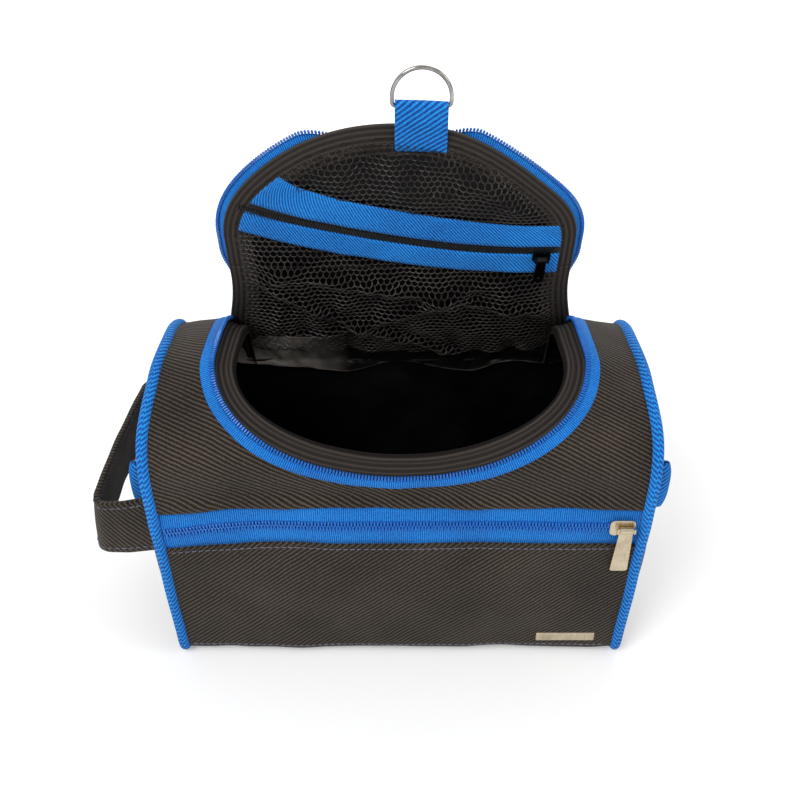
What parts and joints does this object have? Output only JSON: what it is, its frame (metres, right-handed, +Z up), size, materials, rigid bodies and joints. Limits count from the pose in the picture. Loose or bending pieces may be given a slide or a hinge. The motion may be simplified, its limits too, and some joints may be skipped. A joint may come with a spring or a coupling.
{
  "type": "toiletry bag",
  "caption": "Soft wash bag with rounded top, wide zipped lid with mesh pocket and hanging ring, zipped front pocket and side handle.",
  "frame": {"origin": "middle of the base, on the surface it stands on", "axes": "X along the bag with the handle at -X, -Y the front, +Z up"},
  "size_m": [0.2993, 0.1406, 0.3107],
  "materials": {
    "black_lining": "satin",
    "black_metal": "satin",
    "blue_coil": "satin",
    "blue_tape": "matte",
    "blue_twill": "matte",
    "board": "matte",
    "coil": "satin",
    "foam": "matte",
    "lining": "satin",
    "metal": "satin",
    "net": "matte",
    "twill": "matte",
    "webbing": "matte"
  },
  "bodies": {
    "case": {"back_panel": "twill", "base_board": "board", "bottom_panel": "twill", "front_pocket_liner": "twill", "front_pocket_panel": "twill", "front_zip_coil": "coil", "front_zip_tape": "blue_tape", "handle_ends": "webbing", "hinge_seam": "twill", "left_end_padding": "foam", "left_end_panel": "twill", "left_piping": "blue_tape", "left_side_tab": "blue_tape", "lining": "lining", "main_zip_coil": "blue_coil", "main_zip_tape": "blue_tape", "mouth_binding": "webbing", "name_plate": "metal", "right_end_padding": "foam", "right_end_panel": "twill", "right_piping": "blue_tape", "right_side_tab": "blue_tape", "top_panel": "twill", "wall_padding": "foam"},
    "front_pull": {"front_zip_pull": "metal"},
    "front_slider": {"front_zip_slider": "metal"},
    "handle": {"handle_strap": "webbing"},
    "ring": {"hanging_ring": "metal"},
    "hanging_tab": {"hanging_tab_loop": "blue_twill"},
    "lid_front": {"hanging_tab_patch": "blue_twill", "lid_front_binding": "webbing", "lid_front_lining": "black_lining", "lid_front_padding": "foam", "lid_front_panel": "twill", "lid_front_zip_coil": "coil", "lid_front_zip_tape": "blue_tape", "upper_front_mesh": "net"},
    "lid_middle": {"lid_middle_binding": "webbing", "lid_middle_lining": "black_lining", "lid_middle_padding": "foam", "lid_middle_panel": "twill", "lid_middle_zip_coil": "blue_coil", "lid_middle_zip_tape": "blue_tape", "lower_mesh_band": "blue_twill", "lower_middle_mesh": "net", "mesh_zip_coil": "coil", "upper_mesh_band": "blue_twill", "upper_middle_mesh": "net"},
    "lid_rear": {"lid_rear_binding": "webbing", "lid_rear_lining": "black_lining", "lid_rear_padding": "foam", "lid_rear_panel": "twill", "lid_rear_zip_coil": "blue_coil", "lid_rear_zip_tape": "blue_tape", "lower_rear_mesh": "net"},
    "main_pull": {"main_zip_pull": "metal"},
    "main_slider": {"main_zip_slider": "metal"},
    "mesh_pull": {"mesh_zip_pull": "black_metal"},
    "mesh_slider": {"mesh_zip_slider": "black_metal"}
  },
  "joints": [
    {"name": "lid_hinge", "type": "hinge", "parent": "case", "child": "lid_rear", "pos_m": [0, 0.0623, 0.12769], "axis": [1, 0, 0], "range_deg": [-90, 6.34]},
    {"name": "lid_bend_rear", "type": "hinge", "parent": "lid_rear", "child": "lid_middle", "pos_m": [0, 0.03315, 0.17621], "axis": [1, 0, 0], "range_deg": [0, 65]},
    {"name": "lid_bend_front", "type": "hinge", "parent": "lid_middle", "child": "lid_front", "pos_m": [0, 0.01472, 0.22973], "axis": [1, 0, 0], "range_deg": [0, 65]},
    {"name": "tab_fold", "type": "hinge", "parent": "lid_front", "child": "hanging_tab", "pos_m": [0.01, 0.00364, 0.28065], "axis": [1, 0, 0], "range_deg": [0, 150]},
    {"name": "ring_swing", "type": "hinge", "parent": "hanging_tab", "child": "ring", "pos_m": [0.01, 0.00283, 0.29214], "axis": [-1, 0, 0], "range_deg": [-60, 60]},
    {"name": "handle_swing", "type": "hinge", "parent": "case", "child": "handle", "pos_m": [-0.13965, 0, 0.095], "axis": [0, 1, 0], "range_deg": [-40, 45]},
    {"name": "front_slide", "type": "slide", "parent": "case", "child": "front_slider", "axis": [1, 0, 0], "range_m": [-0.23, 0]},
    {"name": "front_pull_swing", "type": "hinge", "parent": "front_slider", "child": "front_pull", "pos_m": [0.1165, -0.0685, 0.096], "axis": [-1, 0, 0], "range_deg": [0, 150]},
    {"name": "main_slide", "type": "slide", "parent": "case", "child": "main_slider", "axis": [0, 0, 1], "range_m": [-0.012, 0.006]},
    {"name": "main_pull_swing", "type": "hinge", "parent": "main_slider", "child": "main_pull", "pos_m": [0.0963, 0.0685, 0.098], "axis": [1, 0, 0], "range_deg": [0, 150]},
    {"name": "mesh_slide", "type": "slide", "parent": "lid_middle", "child": "mesh_slider", "axis": [1, 0, 0], "range_m": [-0.15, 0]},
    {"name": "mesh_pull_swing", "type": "hinge", "parent": "mesh_slider", "child": "mesh_pull", "pos_m": [0.074, 0.01353, 0.21017], "axis": [-1, 0, 0], "range_deg": [0, 150]}
  ],
  "couplings": [
    {"joint": "lid_bend_front", "follows": "lid_bend_rear", "ratio": 1},
    {"joint": "tab_fold", "follows": "lid_bend_rear", "ratio": 2.3}
  ]
}
